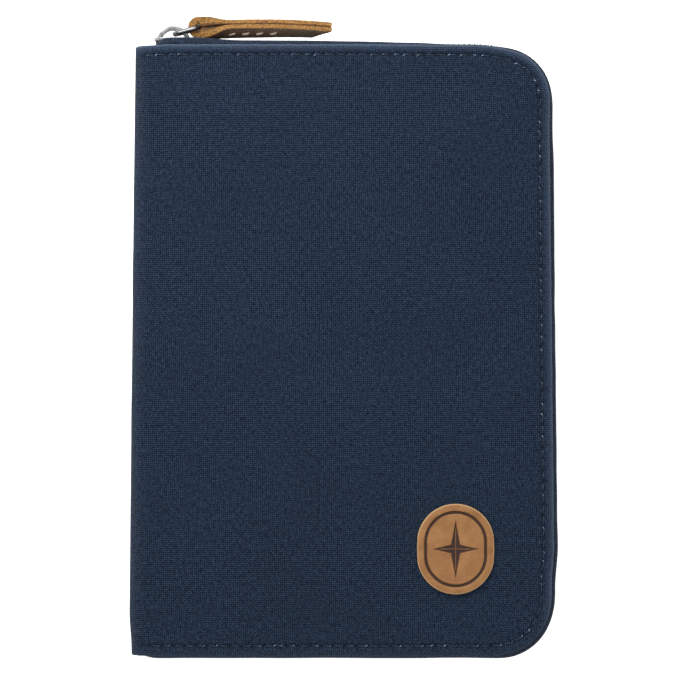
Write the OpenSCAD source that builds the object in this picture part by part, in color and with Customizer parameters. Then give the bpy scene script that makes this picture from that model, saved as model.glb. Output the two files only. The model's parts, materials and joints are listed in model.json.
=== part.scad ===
// Zip-around passport holder, lying closed on its back cover.
// +X runs from the spine to the opening edge, +Y along the spine towards the edge where the
// slider parks, +Z out of the front cover. The origin is the centre of the back cover's outer face.

/* [Covers] */
// Width of each cover, from the spine to the opening edge
cover_w = 100; // [98:1:112]
// Height of each cover
cover_h = 146; // [142:0.5:156]
// Thickness of the closed holder
thickness = 18; // [17.5:0.5:20]
// Radius of the two corners on the opening edge
corner_r = 15; // [13:0.5:17]

/* [Layers] */
// Thickness of the outer canvas
canvas_t = 0.8; // [0.6:0.1:0.9]
// Thickness of the stiffening board behind the canvas
board_t = 0.5; // [0.4:0.1:0.6]
// Thickness of the lining and of every pocket panel
lining_t = 0.4; // [0.3:0.1:0.4]

/* [Pockets] */
// Depth of the room for the passport booklet
passport_gap = 4.6; // [3.8:0.1:4.6]
// Distance from the spine to the mouth of the passport pocket
mouth_x = 18; // [16:1:24]
// Depth of the room in each card slot
card_gap = 0.85; // [0.8:0.05:0.9]
// Step from the top edge of one card slot to the next
card_step = 13; // [11:1:14]

/* [Zip] */
// Distance from the cover's edge in to the face of the zip tape
tape_inset = 1.4; // [1.2:0.1:1.6]
// Distance from the spine to the middle of the parked slider
slider_park = 9.5; // [9:0.5:12]
// Size of the coin pocket's zip, as a share of the main zip
coin_scale = 0.7; // [0.6:0.05:0.75]

/* [Stitching] */
// Distance from the cover's edge to its row of topstitching
stitch_inset = 2.45; // [2.2:0.05:3]
// Length of one stitch and the gap after it
stitch_pitch = 2.7; // [2.4:0.1:3.2]

/* [Puller] */
// Width of the folded leather strap
strap_w = 5; // [4:0.5:5]
// Length of the strap from the ring to its longer edge
strap_l = 31.8; // [26:0.2:36]

/* [Badge] */
// Width of the leather badge
badge_w = 18.4; // [16:0.2:20]
// Height of the leather badge
badge_h = 21.6; // [20:0.2:24]

/* [Hidden] */
$fn = 72;

// Colours
canvas_color = [0.15, 0.20, 0.27];
lining_color = [0.22, 0.24, 0.28];
board_color = [0.75, 0.72, 0.66];
tape_color = [0.11, 0.14, 0.19];
coil_color = [0.08, 0.09, 0.12];
thread_color = [0.24, 0.30, 0.38];
metal_color = [0.75, 0.75, 0.76];
leather_color = [0.64, 0.44, 0.25];
cream_color = [0.86, 0.80, 0.68];

// Places across the holder
half_w = cover_w / 2;
half_h = cover_h / 2;
mid_z = thickness / 2;
spine_x = -half_w;
far = 2 * cover_h;

// Heights of the layers, counted from either cover's outer face
board_z = canvas_t;
lining_z = board_z + board_t;
inner_z = lining_z + lining_t;

// The spine's wall and what stays clear of it as it turns
spine_clear = 0.1;
inner_left = spine_x + 1.5;

// The zip, measured outwards from the inner face of its tape and sideways from its middle line
tape_t = 0.4;
tape_slit = 0.3;
board_left = spine_x + 4;
flange_w = 5;
coil_top = 2.3;
coil_near = 0.25;
coil_far = 2.6;
stop_l = 1.3;
stop_gap = 0.5;
stop_left = spine_x + 4;
coil_left = stop_left + stop_l + stop_gap;

// The slider
slider_l = 8.6;
plate_n = coil_top + 0.1;
plate_t = 0.8;
plate_top = plate_n + plate_t;
nose_c = 2.2;
shoulder_c = 3.6;
tail_c = 3.45;
shoulder_x = -3.2;
flange_n = tape_t + 0.25;
flange_c = coil_far + 0.15;
post_c = 0.2;
post_l = 3.4;
bottom_top = -0.2;
bottom_n = -1;
bridge_w = 2.4;
bridge_x = 0.3;
bridge_rise = 2.85;
bridge_span = 7.8;
bridge_wall = 1.2;

// The pull ring, from the bar under the bridge to the bar in the strap's loop
wire_r = 0.6;
ring_bend = 1.3;
ring_c = strap_w / 2 + 0.1 + wire_r;
ring_x = 0.7;
ring_n = plate_top + 0.25 + wire_r;
ring_l = 5.9;
ring_tilt = 15.2;
loop_x = ring_x + ring_l * cos(ring_tilt);
loop_n = ring_n + ring_l * sin(ring_tilt);

// The strap
hide_t = 1.25;
loop_r = 2.6;
loop_hole = loop_r - hide_t;
neck_l = 6.8;
strap_rise = 0.4;
puller_stitch_l = 2;
puller_stitch_pitch = 3.3;
puller_stitch_first = 7.9;
puller_stitch_count = 4;

// Places of the two zips
slider_x = spine_x + slider_park;
tape_y = half_h - tape_inset;
front_coil_left = slider_x + slider_l / 2 + 1.2;

// The room inside, between the zip tapes
room_inset = 2.8;
seam_w = 2;
pocket_left = spine_x + mouth_x;
pocket_z = inner_z + passport_gap;
pocket_top = pocket_z + lining_t;
binding_w = 3.2;
binding_t = 0.2;

// The coin pocket on the passport pocket
coin_gap = 1.4;
coin_z = pocket_top + coin_gap;
coin_left = pocket_left + 8;
coin_right = half_w - 6;
coin_half_h = half_h - 12.5;
coin_zip_y = coin_half_h - 12;
coin_window = [coin_left + 5, coin_right - 5];
coin_window_c = 5;
coin_x = coin_window[0] + 5.2;

// The card slots on the front cover
backing_z = inner_z + 0.6;
backing_top = 52;
slot_top = 35;
card_h = 54;
card_show = 10;
panel_bottom = -64;
panel_half_w = half_w - 4.8;
edging_half_w = half_w - 3;

// Stitches
groove_w = 0.9;
groove_d = 0.35;
stitch_w = 0.6;
stitch_t = 0.3;
stitch_l = stitch_pitch - 0.5;

// Badge
badge_x = half_w - 22.8;
badge_y = 25.6 - half_h;
badge_t = 1;
deboss_d = 0.3;
deboss_w = 0.7;
badge_rim = 1.7;

// ---------------------------------------------------------------- shared shapes

// Outline of a cover, moved in by inset: square at the spine, round at the opening edge.
module outline(inset, left) {
    r = corner_r - inset;
    right = half_w - inset;
    top = half_h - inset;
    translate([left, -top]) square([right - r - left, 2 * top]);
    translate([right - r - 1, r - top]) square([r + 1, 2 * (top - r)]);
    for (side = [-1, 1]) translate([right - r, side * (top - r)]) circle(r);
}

// Band along the three zipped edges, open at the spine.
module rim(outer, inner, left) {
    difference() {
        outline(outer, left);
        outline(inner, left - 1);
    }
}

module slab(low, high) {
    translate([0, 0, low]) linear_extrude(high - low) children();
}

// What is built from the back cover's outer face upwards, turned over for the front cover.
module as_front() {
    translate([0, 0, thickness]) mirror([0, 0, 1]) children();
}

// Rows of stitches run along the rim: length of each stretch, and a place and heading on it.
stitch_left = spine_x + 5;
path_r = corner_r - stitch_inset;
path_x = half_w - corner_r;
path_y = half_h - corner_r;
run_top = path_x - stitch_left;
run_bend = PI * path_r / 2;
run_side = 2 * path_y;
run_all = 2 * run_top + 2 * run_bend + run_side;

function on_top(s) = [stitch_left + s, path_y + path_r, 0];
function on_bend(s, side) =
    let (a = 90 * s / run_bend, turn = side > 0 ? 90 - a : -a)
    [path_x + path_r * cos(turn), side * path_y + path_r * sin(turn), turn - 90];
function on_side(s) = [path_x + path_r, path_y - s, -90];
function on_bottom(s) = [path_x - s, -path_y - path_r, 180];
function on_path(s) =
    s < run_top ? on_top(s)
    : s < run_top + run_bend ? on_bend(s - run_top, 1)
    : s < run_top + run_bend + run_side ? on_side(s - run_top - run_bend)
    : s < run_all - run_top ? on_bend(s - run_top - run_bend - run_side, -1)
    : on_bottom(s - run_all + run_top);

module topstitch() {
    color(thread_color)
        for (s = [stitch_pitch / 2 : stitch_pitch : run_all - stitch_pitch / 2]) {
            place = on_path(s);
            translate([place[0], place[1], groove_d - stitch_t / 2])
                rotate(place[2])
                    cube([stitch_l, stitch_w, stitch_t], center = true);
        }
}

module cover() {
    color(canvas_color) difference() {
        slab(0, canvas_t) outline(0, spine_x);
        slab(-1, groove_d)
            rim(stitch_inset - groove_w / 2, stitch_inset + groove_w / 2, stitch_left);
    }
}

module stiffener() {
    color(board_color)
        slab(board_z, lining_z) outline(tape_inset + flange_w, board_left);
}

module lining() {
    color(lining_color)
        slab(lining_z, inner_z) outline(tape_inset + 0.1, inner_left);
}

// The tape is sewn flat behind the canvas and turns up into the side wall.
module zip_tape() {
    color(tape_color) {
        slab(board_z, lining_z)
            rim(tape_inset - tape_t, tape_inset + flange_w - 0.2, inner_left);
        slab(lining_z, mid_z - tape_slit) rim(tape_inset - tape_t, tape_inset, inner_left);
    }
}

module coil_band(left) {
    slab(mid_z - coil_far, mid_z - coil_near)
        rim(tape_inset - coil_top, tape_inset - tape_t, left);
}

// One half of the coil. Along the slider's edge it can start further from the spine.
module zip_coil(top_left) {
    color(coil_color) difference() {
        coil_band(coil_left);
        translate([top_left - far, 0, 0]) cube([far, far, far]);
    }
}

module zip_stops() {
    color(coil_color) intersection() {
        coil_band(stop_left);
        translate([stop_left, -far / 2, 0]) cube([stop_l, far, far]);
    }
}

// A rounded-end loop of wire lying in X and Y, its first bar on the Y axis.
module wire_loop(length, half) {
    for (x = [0, length])
        translate([x, 0, 0]) rotate([90, 0, 0])
            cylinder(h = 2 * (half - ring_bend), r = wire_r, center = true);
    for (side = [-1, 1]) {
        translate([ring_bend, side * half, 0]) rotate([0, 90, 0])
            cylinder(h = length - 2 * ring_bend, r = wire_r);
        translate([ring_bend, side * (half - ring_bend), 0])
            rotate(side > 0 ? 90 : 180) bend();
        translate([length - ring_bend, side * (half - ring_bend), 0])
            rotate(side > 0 ? 0 : 270) bend();
    }
}

module bend() {
    rotate_extrude(angle = 90) translate([ring_bend, 0]) circle(wire_r, $fn = 32);
}

// ---------------------------------------------------------------- the slider, lying on its tape

// X runs towards the tail, Y across the coil and Z away from the tape.
module slider_plate(low, high, trim) {
    front = -slider_l / 2 + trim;
    back = slider_l / 2 - trim;
    slab(low, high) polygon([
        [front, nose_c - trim], [shoulder_x, shoulder_c - trim], [back, tail_c - trim],
        [back, trim - tail_c], [shoulder_x, trim - shoulder_c], [front, trim - nose_c]
    ]);
}

module slider_body_shape() {
    color(metal_color) {
        slider_plate(plate_n, plate_top, 0);
        slider_plate(bottom_n, bottom_top, 0.2);
        translate([-slider_l / 2 + 0.3, -post_c, bottom_top])
            cube([post_l, 2 * post_c, plate_n - bottom_top]);
        for (side = [0, 1]) mirror([0, side, 0])
            translate([shoulder_x, flange_c, flange_n])
                cube([slider_l / 2 - shoulder_x, tail_c - flange_c, plate_n - flange_n]);
    }
}

// Radius of the arc that rises by height over a chord.
function arc_r(chord, height) = (chord * chord / 4 + height * height) / (2 * height);

module arch(chord, height) {
    r = arc_r(chord, height);
    translate([bridge_x, plate_top + height - r]) circle(r);
}

module slider_bridge_shape() {
    color(metal_color) rotate([90, 0, 0])
        linear_extrude(bridge_w, center = true) intersection() {
            difference() {
                arch(bridge_span, bridge_rise);
                arch(bridge_span - 2 * bridge_wall, bridge_rise - bridge_wall);
            }
            translate([-slider_l, plate_top]) square([2 * slider_l, 2 * bridge_rise]);
        }
}

// The main zip stands on edge: its tape faces +Y and the holder's thickness runs across it.
module on_main_zip() {
    translate([slider_x, tape_y, mid_z]) rotate([-90, 0, 0]) children();
}

// The coin zip lies flat on the passport pocket.
module on_coin_zip() {
    translate([coin_x, coin_zip_y, coin_z]) scale(coin_scale) children();
}

// ---------------------------------------------------------------- back cover

module back_cover() { cover(); }
module back_stiffener() { stiffener(); }
module back_lining() { lining(); }
module back_topstitch() { topstitch(); }
module back_zip_tape() { zip_tape(); }
module back_zip_coil() { zip_coil(coil_left); }
module back_zip_stops() { zip_stops(); }

module passport_pocket() {
    color(lining_color) slab(pocket_z, pocket_top) outline(room_inset, pocket_left);
}

module passport_gusset() {
    color(lining_color)
        slab(inner_z, pocket_z) rim(room_inset, room_inset + seam_w, pocket_left);
}

// Folded tape over the pocket's mouth.
module pocket_binding() {
    top = half_h - room_inset - seam_w;
    color(tape_color) difference() {
        translate([pocket_left - binding_t, -top, pocket_z - binding_t])
            cube([binding_w, 2 * top, lining_t + 2 * binding_t]);
        translate([pocket_left, -far, pocket_z]) cube([far, 2 * far, lining_t]);
    }
}

module coin_outline(inset) {
    intersection() {
        translate([coin_left + inset, inset - coin_half_h])
            square([coin_right - coin_left - 2 * inset, 2 * (coin_half_h - inset)]);
        outline(room_inset + inset + 2, spine_x);
    }
}

module coin_zip_window() {
    translate([coin_window[0], coin_zip_y - coin_window_c])
        square([coin_window[1] - coin_window[0], 2 * coin_window_c]);
}

module coin_pocket() {
    color(lining_color) slab(coin_z, coin_z + lining_t) difference() {
        coin_outline(0);
        coin_zip_window();
    }
}

module coin_edging() {
    color(tape_color) slab(pocket_top, coin_z) difference() {
        coin_outline(0);
        coin_outline(seam_w);
    }
}

module coin_zip_tape() {
    slit = tape_slit * coin_scale;
    color(tape_color) slab(coin_z, coin_z + tape_t * coin_scale)
        for (side = [0, 1])
            translate([0, coin_zip_y]) mirror([0, side])
                translate([coin_window[0], slit])
                    square([coin_window[1] - coin_window[0], coin_window_c - slit]);
}

// A stretch of both halves of the coin pocket's coil.
module coin_coil_band(left, right) {
    translate([0, coin_zip_y, coin_z])
        for (side = [0, 1]) mirror([0, side, 0])
            translate([left, coil_near * coin_scale, tape_t * coin_scale])
                cube([right - left, (coil_far - coil_near) * coin_scale,
                      (coil_top - tape_t) * coin_scale]);
}

module coin_zip_coil() {
    color(coil_color)
        coin_coil_band(coin_window[0] + stop_l + stop_gap, coin_window[1] - stop_l - stop_gap);
}

module coin_zip_stops() {
    color(coil_color) {
        coin_coil_band(coin_window[0] + stop_gap, coin_window[0] + stop_l);
        coin_coil_band(coin_window[1] - stop_l, coin_window[1] - stop_gap);
    }
}

// ---------------------------------------------------------------- spine

module spine_wall(inner, depth) {
    low = canvas_t + spine_clear;
    translate([spine_x + inner, -half_h, low])
        cube([depth, cover_h, thickness - 2 * low]);
}

module spine_panel() { color(canvas_color) spine_wall(0, canvas_t); }
module spine_lining() { color(lining_color) spine_wall(canvas_t, lining_t); }

// ---------------------------------------------------------------- front cover

module front_cover() { as_front() cover(); }
module front_stiffener() { as_front() stiffener(); }
module front_lining() { as_front() lining(); }
module front_topstitch() { as_front() topstitch(); }
module front_zip_tape() { as_front() zip_tape(); }
module front_zip_coil() { as_front() zip_coil(front_coil_left); }
module front_zip_stops() { as_front() zip_stops(); }

// Upright oval with straight sides.
module badge_outline(inset) {
    r = badge_w / 2 - inset;
    rise = (badge_h - badge_w) / 2;
    for (side = [-1, 1]) translate([0, side * rise]) circle(r);
    square([2 * r, 2 * rise], center = true);
}

// Four-pointed star: long points up, down and sideways, drawn as thin diamonds.
module star_line(reach) {
    waist = deboss_w * 1.3;
    polygon([[reach, 0], [0, waist], [-reach, 0], [0, -waist]]);
}

module leather_badge() {
    reach = badge_w / 2 - badge_rim - 2.6;
    color(leather_color) translate([badge_x, badge_y, thickness]) difference() {
        slab(0, badge_t) badge_outline(0);
        slab(badge_t - deboss_d, badge_t + 1) {
            difference() {
                badge_outline(badge_rim);
                badge_outline(badge_rim + deboss_w);
            }
            star_line(reach);
            rotate(90) star_line(reach + 1.6);
        }
    }
}

// A flat card panel from the pocket's foot up to top, at height low.
module card_panel(low, top) {
    color(lining_color) slab(low, low + lining_t) intersection() {
        translate([-panel_half_w, panel_bottom])
            square([2 * panel_half_w, top - panel_bottom]);
        outline(room_inset + seam_w, spine_x);
    }
}

function slot_z(level) = backing_z + lining_t * level + card_gap * level;

module card_backing() { as_front() card_panel(backing_z, backing_top); }
module card_slot_1() { as_front() card_panel(slot_z(1), slot_top); }
module card_slot_2() { as_front() card_panel(slot_z(2), slot_top - card_step); }
module card_slot_3() { as_front() card_panel(slot_z(3), slot_top - 2 * card_step); }

// Tape down both sides and across the foot, with a bar across the foot of each slot.
module card_edging() {
    color(tape_color) as_front() {
        slab(inner_z, slot_z(3) + lining_t) difference() {
            intersection() {
                translate([-edging_half_w, panel_bottom - seam_w])
                    square([2 * edging_half_w, backing_top - panel_bottom + seam_w]);
                outline(room_inset, spine_x);
            }
            intersection() {
                translate([-panel_half_w, panel_bottom]) square([2 * panel_half_w, far]);
                outline(room_inset + seam_w, spine_x);
            }
        }
        for (level = [1 : 3])
            translate([-panel_half_w, slot_foot(level) - seam_w, slot_z(level) - card_gap])
                cube([2 * panel_half_w, seam_w, card_gap]);
    }
}

function slot_foot(level) = slot_top - card_step * (level - 1) + card_show - card_h - 0.4;

// ---------------------------------------------------------------- slider, ring and puller

module slider_body() { on_main_zip() slider_body_shape(); }
module slider_bridge() { on_main_zip() slider_bridge_shape(); }

module pull_ring() {
    color(metal_color) on_main_zip()
        translate([ring_x, 0, ring_n]) rotate([0, -ring_tilt, 0]) wire_loop(ring_l, ring_c);
}

// A loop round the ring's bar that closes into two layers, as wide as the strap.
module strap_loop() {
    shoulder = 0.97 * loop_r;
    hollow = 0.9 * loop_hole;
    low = strap_rise - hide_t;
    high = strap_rise + hide_t;
    difference() {
        union() {
            cylinder(h = strap_w, r = loop_r, center = true);
            linear_extrude(strap_w, center = true)
                polygon([[0, shoulder], [neck_l, high], [strap_l, high],
                         [strap_l, low], [neck_l, low], [0, -shoulder]]);
        }
        cylinder(h = strap_w + 1, r = loop_hole, center = true);
        linear_extrude(strap_w + 1, center = true)
            polygon([[0, hollow], [neck_l * 0.7, strap_rise], [0, -hollow]]);
    }
}

// Plan of the strap, with its end cut on the slant.
module strap_plan() {
    polygon([[-2 * loop_r, -strap_w / 2], [strap_l, -strap_w / 2],
             [strap_l - strap_w, strap_w / 2], [-2 * loop_r, strap_w / 2]]);
}

module leather_puller() {
    color(leather_color) on_main_zip() translate([loop_x, 0, loop_n]) intersection() {
        rotate([90, 0, 0]) strap_loop();
        translate([0, 0, -far / 2]) linear_extrude(far) strap_plan();
    }
}

module puller_stitches() {
    color(cream_color) on_main_zip()
        translate([loop_x + puller_stitch_first, 0, loop_n + strap_rise])
            for (i = [0 : puller_stitch_count - 1], side = [-1, 1])
                translate([i * puller_stitch_pitch, 0, side * (hide_t + 0.1)])
                    cube([puller_stitch_l, 0.5, 0.2], center = true);
}

module coin_slider_body() { on_coin_zip() slider_body_shape(); }
module coin_slider_bridge() { on_coin_zip() slider_bridge_shape(); }

module coin_pull_ring() {
    color(metal_color) on_coin_zip()
        translate([ring_x, 0, ring_n]) wire_loop(2 * ring_l, ring_c);
}

back_cover();
back_stiffener();
back_lining();
back_topstitch();
back_zip_tape();
back_zip_coil();
back_zip_stops();
passport_pocket();
passport_gusset();
pocket_binding();
coin_pocket();
coin_edging();
coin_zip_tape();
coin_zip_coil();
coin_zip_stops();
spine_panel();
spine_lining();
front_cover();
front_stiffener();
front_lining();
front_topstitch();
front_zip_tape();
front_zip_coil();
front_zip_stops();
leather_badge();
card_backing();
card_slot_1();
card_slot_2();
card_slot_3();
card_edging();
slider_body();
slider_bridge();
pull_ring();
leather_puller();
puller_stitches();
coin_slider_body();
coin_slider_bridge();
coin_pull_ring();
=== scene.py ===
"""Looks for the zip-around passport holder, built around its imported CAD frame.

The holder lies on its back cover: +X runs from the spine to the opening edge, +Y along the spine to
the slider's edge, +Z out of the front cover. Lengths are in millimetres until Builder.build() turns
them into metres. A height h is measured outwards from a cover's outer face and an inset d inwards
from the covers' outline. u is x measured along the cloth, on round the fold and down the spine.
"""
import json
import math

import bmesh
import bpy
import numpy as np
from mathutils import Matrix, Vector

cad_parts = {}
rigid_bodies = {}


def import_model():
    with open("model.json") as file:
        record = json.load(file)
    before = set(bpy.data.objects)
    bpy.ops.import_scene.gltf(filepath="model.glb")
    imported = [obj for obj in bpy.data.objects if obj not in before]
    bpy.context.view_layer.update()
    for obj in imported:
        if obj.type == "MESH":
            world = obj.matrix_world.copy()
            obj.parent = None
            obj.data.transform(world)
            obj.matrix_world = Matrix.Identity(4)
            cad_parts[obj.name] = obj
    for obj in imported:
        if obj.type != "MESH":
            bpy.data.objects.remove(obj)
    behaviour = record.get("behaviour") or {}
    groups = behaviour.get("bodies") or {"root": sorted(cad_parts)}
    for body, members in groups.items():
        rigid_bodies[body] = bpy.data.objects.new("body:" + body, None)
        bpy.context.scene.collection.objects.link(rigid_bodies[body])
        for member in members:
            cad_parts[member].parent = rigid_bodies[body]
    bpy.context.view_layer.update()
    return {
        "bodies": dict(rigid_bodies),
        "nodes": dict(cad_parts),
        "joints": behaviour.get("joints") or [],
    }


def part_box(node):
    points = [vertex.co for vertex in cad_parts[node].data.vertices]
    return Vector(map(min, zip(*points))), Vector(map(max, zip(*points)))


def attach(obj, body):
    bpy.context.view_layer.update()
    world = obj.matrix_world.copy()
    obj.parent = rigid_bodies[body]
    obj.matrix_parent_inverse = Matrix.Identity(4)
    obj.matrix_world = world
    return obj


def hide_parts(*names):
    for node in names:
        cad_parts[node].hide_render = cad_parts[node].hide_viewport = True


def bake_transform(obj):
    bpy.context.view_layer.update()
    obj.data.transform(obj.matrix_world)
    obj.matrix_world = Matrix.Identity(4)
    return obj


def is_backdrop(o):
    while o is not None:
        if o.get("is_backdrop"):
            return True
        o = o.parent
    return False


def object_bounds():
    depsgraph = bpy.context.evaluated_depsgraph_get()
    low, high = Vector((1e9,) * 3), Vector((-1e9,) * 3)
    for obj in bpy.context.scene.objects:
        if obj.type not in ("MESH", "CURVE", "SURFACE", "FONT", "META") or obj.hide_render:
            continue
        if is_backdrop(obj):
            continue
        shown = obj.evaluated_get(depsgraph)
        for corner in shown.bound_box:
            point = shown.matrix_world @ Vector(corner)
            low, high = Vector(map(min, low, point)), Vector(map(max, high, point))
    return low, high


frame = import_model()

MM = 0.001


def box(node):
    """Lowest and highest corners of a CAD node, in millimetres."""
    low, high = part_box(node)
    return np.array(low) / MM, np.array(high) / MM


# ---- sizes

LEFT = box("back_cover")[0][0]
RIGHT, HALF_H = box("back_cover")[1][:2]
THICK = box("front_cover")[1][2]
MID = THICK / 2
CORNER_R = 15.0
CORNER_X = RIGHT - CORNER_R
CORNER_Y = HALF_H - CORNER_R

# The cloth turns from each cover into the spine round this radius, and ends halfway down it.
FOLD_R = 4.0
FOLD_X = LEFT + FOLD_R
FOLD_ARC = FOLD_R * math.pi / 2
SPINE_U = FOLD_X - FOLD_ARC - (MID - FOLD_R)

CANVAS_T = 0.8
HEM_R = 0.62
HEM_W = 5.6
LINING_H = -1.7
LINING_BACK_H = -1.34
BLOCK_INSET = 10
CROWN = {True: 0.6, False: 0.25}

STITCH_PITCH = 2.7
STITCH_INSET = 2.45
STITCH_LEFT = LEFT + 2.3
STITCH_UP = 0.1
SEAM_PITCH = 2.6
SEAM_GAP = 0.5

TAPE_T = 0.4
TAPE_INSET = HALF_H - box("back_zip_tape")[1][1] + TAPE_T
TAPE_R = CORNER_R - TAPE_INSET
TAPE_W = MID - 1.15
TAPE_END_X = LEFT + 6
COIL_NEAR = 0.25
COIL_FAR = 2.6
COIL_PITCH = 1.3
COIL_X = LEFT + 5.8
WIRE_R = 0.27
WIRE_TOP = 1.9
COIN_WIRE_R = 0.2
SLIDER_X = sum(box("slider_body"))[0] / 2
SLIDER_CLEAR = 5.5

BAR = np.array(next(j["pos_m"] for j in frame["joints"] if j["name"] == "puller_swing")) / MM
STRAP_W = 5.0
HIDE_T = 1.25
HIDE_GAP = 0.015
LOOP_R = 2.6
STRAP_RISE = 0.4
STRAP_FLAT_X = 9
PULLER_STITCH_X = 7.9
PULLER_STITCH_PITCH = 3.3

SLOT_DEPTH = 44.4
SLOT_BINDING_W = 2.6
EDGING_W = 1.8
COIN_TAPE_NEAR = 0.22
COIN_TAPE_FAR = 5.6
COIN_TAPE_T = 0.34

# The setting is in metres.
TABLE_HALF = 4.0
TABLE_GAP = 0.00002
VIEW_WIDTH = 0.1645

SIDE = {True: "front", False: "back"}
SEEDS = {True: 11, False: 47}
CORNERS = ((-1, -1), (1, -1), (1, 1), (-1, 1))
UP = (0, 0, 1)
DOWN = (0, 0, -1)


# ---- small maths

def smooth(t):
    t = np.clip(t, 0, 1)
    return t * t * (3 - 2 * t)


def bump(x, centre, width):
    return np.exp(-((x - centre) / width) ** 2)


def ripple(x, y, seed, longest, shortest):
    """Gentle unevenness between about -1 and 1, with wavelengths between the two given."""
    count = 9
    rng = np.random.default_rng(seed)
    total = np.zeros(np.broadcast(x, y).shape)
    for _ in range(count):
        wave = longest * (shortest / longest) ** rng.random()
        turn = rng.random() * math.pi
        phase = rng.random() * 2 * math.pi
        along = x * math.cos(turn) + y * math.sin(turn)
        total = total + np.sin(2 * math.pi * along / wave + phase)
    return total / count * 1.6


def stack(*parts):
    """One array of points from arrays of coordinates that broadcast."""
    return np.stack(np.broadcast_arrays(*parts), -1)


def raised(points, z):
    """(x, y) points with a height that broadcasts."""
    return stack(points[..., 0], points[..., 1], z)


def heading(points):
    """Unit direction of a path at each of its points."""
    step = np.gradient(points, axis=0)
    return step / np.linalg.norm(step, axis=1)[:, None]


def turned(vectors):
    """2D vectors turned a quarter clockwise."""
    return stack(vectors[..., 1], -vectors[..., 0])


def full_turn(count):
    return np.linspace(0, 2 * math.pi, count, endpoint=False)


def catmull(points, per_span):
    """Smooth curve through the points."""
    p = np.array(points, float)
    p = np.vstack([2 * p[0] - p[1], p, 2 * p[-1] - p[-2]])
    t = np.linspace(0, 1, per_span, endpoint=False)[:, None]
    spans = []
    for a, b, c, d in zip(p, p[1:], p[2:], p[3:]):
        spans.append(0.5 * (2 * b + (c - a) * t + (2 * a - 5 * b + 4 * c - d) * t ** 2
                            + (3 * b - a - 3 * c + d) * t ** 3))
    return np.vstack(spans + [p[-2:-1]])


def arc_length(points):
    steps = np.linalg.norm(np.diff(points, axis=0), axis=1)
    return np.concatenate([[0], np.cumsum(steps)])


# ---- mesh building

def settle(xyz):
    """The sewn covers are not quite true: wider away from the slider, fuller in their corners."""
    x, y, z = np.moveaxis(xyz, -1, 0)
    turn = np.arctan2(np.maximum(np.abs(y) - CORNER_Y, 0), np.maximum(x - CORNER_X, 0))
    corner = np.where(y < 0, 0.5, 0.62) * np.sin(2 * turn) ** 2
    corner = corner * smooth((np.hypot(x - CORNER_X, np.abs(y) - CORNER_Y) - 6) / 8)
    opening = (0.35 * bump(y, 63, 6) - 0.7 * smooth((-y - 47) / 10)) * smooth((x - 10) / 30)
    spine = (0.26 - 0.55 * smooth((-y - 62) / 10)) * smooth((-x - 20) / 25)
    slider_edge = 0.12 * smooth((x - 5) / 25) + 0.5 * bump(x, 39.5, 4.5)
    x = x + corner * np.cos(turn) + opening - spine
    y = y + corner * np.sin(turn) * np.sign(y) - slider_edge * smooth((y - 40) / 30)
    shift, width, taper = 0.26, 0.9994, 0.000212
    return stack(shift + x * (width - taper * y), y, z)


def add_object(name, data):
    obj = bpy.data.objects.new(name, data)
    bpy.context.scene.collection.objects.link(obj)
    return obj


def finished(mesh, material, sharp):
    """Object of a mesh in one material, smooth but for edges of more than sharp degrees."""
    mesh.polygons.foreach_set("use_smooth", [True] * len(mesh.polygons))
    mesh.set_sharp_from_angle(angle=math.radians(sharp))
    mesh.materials.append(material)
    return add_object(mesh.name, mesh)


class Builder:
    """Collects the vertices and faces of one piece. settled ones follow the covers' sewn shape."""

    def __init__(self, settled=False):
        self.settled = settled
        self.verts = []
        self.uvs = []
        self.marks = []
        self.faces = []
        self.count = 0

    def points(self, xyz, uv=None, **marks):
        """Adds points in an array of any shape and returns their numbers in the same shape."""
        shape = xyz.shape[:-1]
        uv = xyz[..., :2] if uv is None else uv
        self.verts.append(xyz.reshape(-1, 3))
        self.uvs.append(np.broadcast_to(uv, shape + (2,)).reshape(-1, 2))
        self.marks.append({key: np.broadcast_to(mark, shape).ravel() for key, mark in marks.items()})
        index = np.arange(self.count, self.count + int(np.prod(shape))).reshape(shape)
        self.count += index.size
        return index

    def grid(self, index, keep=True, winding=1):
        """Quads between the neighbours in a 2D array of point numbers, where keep is true."""
        corners = [index[:-1, :-1], index[:-1, 1:], index[1:, 1:], index[1:, :-1]]
        quads = np.stack(corners[::winding], axis=-1)
        self.faces.extend(quads[np.broadcast_to(keep, quads.shape[:2])].tolist())

    def face(self, *numbers):
        self.faces.append(np.concatenate(numbers).tolist())

    def loft(self, index):
        """Closed form through rows of point numbers, each row a section, with a face at both ends."""
        self.grid(np.hstack([index, index[:, :1]]))
        self.face(index[0])
        self.face(index[-1][::-1])

    def build(self, name, material, sharp=50):
        """Makes the object, in metres, with one UV map in metres and its marks as point values."""
        mesh = bpy.data.meshes.new(name)
        xyz = np.vstack(self.verts)
        if self.settled:
            xyz = settle(xyz)
        mesh.from_pydata((xyz * MM).tolist(), [], self.faces)
        layer = mesh.uv_layers.new(name="Cloth")
        corners = np.zeros(len(mesh.loops), np.int32)
        mesh.loops.foreach_get("vertex_index", corners)
        uv = (np.vstack(self.uvs) * MM).astype(np.float32)
        layer.data.foreach_set("uv", uv[corners].ravel())
        for key in sorted({key for part in self.marks for key in part}):
            values = [part.get(key, np.zeros(len(v))) for part, v in zip(self.marks, self.verts)]
            attribute = mesh.attributes.new(key, "FLOAT", "POINT")
            attribute.data.foreach_set("value", np.concatenate(values).astype(np.float32))
        work = bmesh.new()
        work.from_mesh(mesh)
        loose = [vert for vert in work.verts if not vert.link_faces]
        bmesh.ops.delete(work, geom=loose, context="VERTS")
        bmesh.ops.recalc_face_normals(work, faces=work.faces)
        work.to_mesh(mesh)
        work.free()
        return finished(mesh, material, sharp)


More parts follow.
